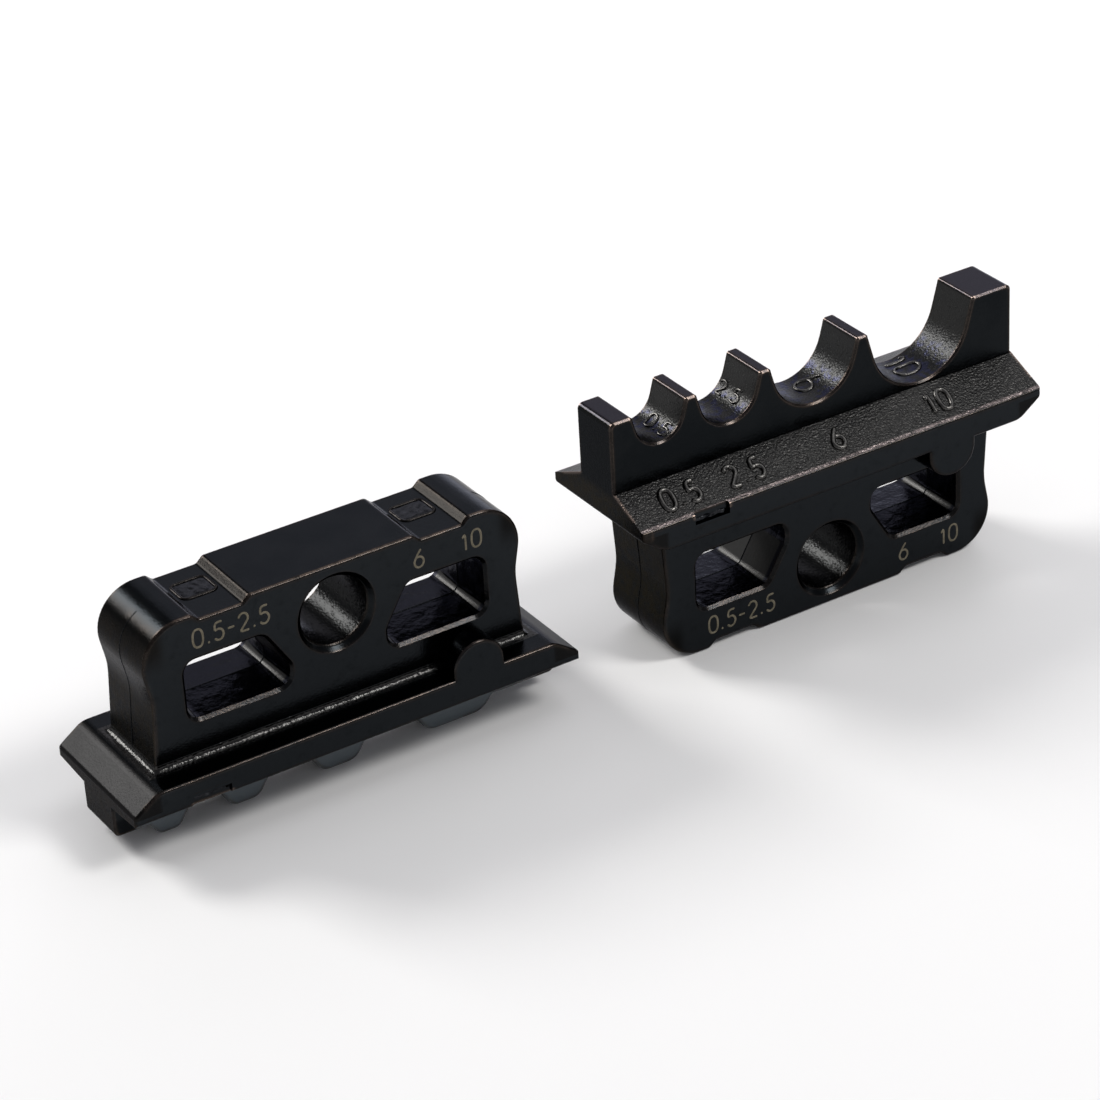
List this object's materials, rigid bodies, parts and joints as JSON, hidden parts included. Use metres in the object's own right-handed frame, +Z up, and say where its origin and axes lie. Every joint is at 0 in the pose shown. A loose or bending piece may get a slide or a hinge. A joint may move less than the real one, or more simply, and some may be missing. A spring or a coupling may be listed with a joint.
{
  "type": "crimping die set",
  "caption": "Pair of slim interchangeable crimping dies in blackened steel: a lower die with a comb of four round nests and an upper die with the four matching lobes.",
  "frame": {"origin": "centre of the pair's bounding box, on the surface that both dies stand on", "axes": "+X along the dies towards the largest nest, +Z up along the pressing direction, -Y towards the side with the locating tabs"},
  "size_m": [0.0768, 0.0136, 0.0205],
  "materials": {
    "black_steel": "black oxide on sintered steel, semi-gloss, worn to bronze along the edges"
  },
  "bodies": {
    "lower_die": {"lower_die": "black_steel"},
    "upper_die": {"upper_die": "black_steel"}
  },
  "joints": [
    {"name": "press_stroke", "type": "slide", "parent": "lower_die", "child": "upper_die", "axis": [0, 0, 1], "range_m": [0, 0.03]}
  ]
}
